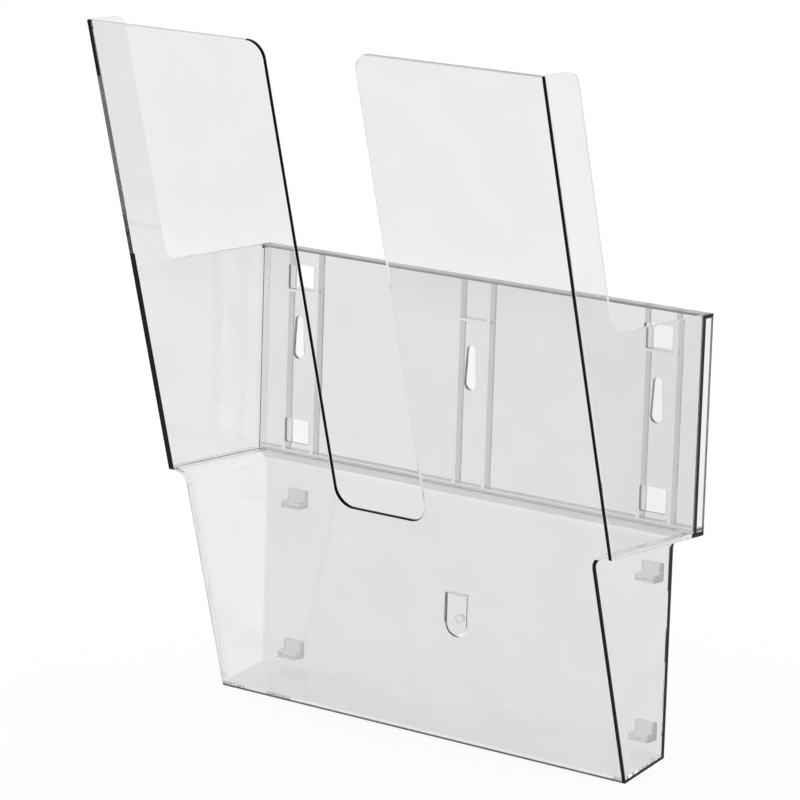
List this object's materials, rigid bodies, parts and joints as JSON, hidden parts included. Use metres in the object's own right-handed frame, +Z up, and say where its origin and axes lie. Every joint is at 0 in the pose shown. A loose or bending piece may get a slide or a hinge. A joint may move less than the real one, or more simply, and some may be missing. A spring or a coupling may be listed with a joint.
{
  "type": "magazine rack",
  "caption": "Wall-hung magazine rack in clear plastic: leaning front with ears and a finger cut, stepped pocket, rimmed wall plate with screw slots, stacking clips and a spring latch.",
  "frame": {"origin": "on the wall, at the middle of the centre screw slot", "axes": "+X to the right seen from the room, +Y into the wall, +Z up"},
  "size_m": [0.245, 0.1262, 0.311],
  "materials": {
    "clear_polystyrene": "clear, polished",
    "clear_polystyrene_plate": "clear, polished",
    "clear_polystyrene_latch": "clear, polished",
    "translucent_clip": "translucent, satin"
  },
  "bodies": {
    "rack": {"pocket": "clear_polystyrene", "wall_plate": "clear_polystyrene_plate", "clip_upper_left": "translucent_clip", "clip_upper_right": "translucent_clip", "clip_lower_left": "translucent_clip", "clip_lower_right": "translucent_clip"},
    "latch": {"latch_tongue": "clear_polystyrene_latch"}
  },
  "joints": [
    {"name": "latch_bend", "type": "hinge", "parent": "rack", "child": "latch", "pos_m": [0, -0.0091, -0.1019], "axis": [-1, 0, 0], "range_deg": [-4, 10], "stiffness_Nm_per_rad": 0.02}
  ]
}
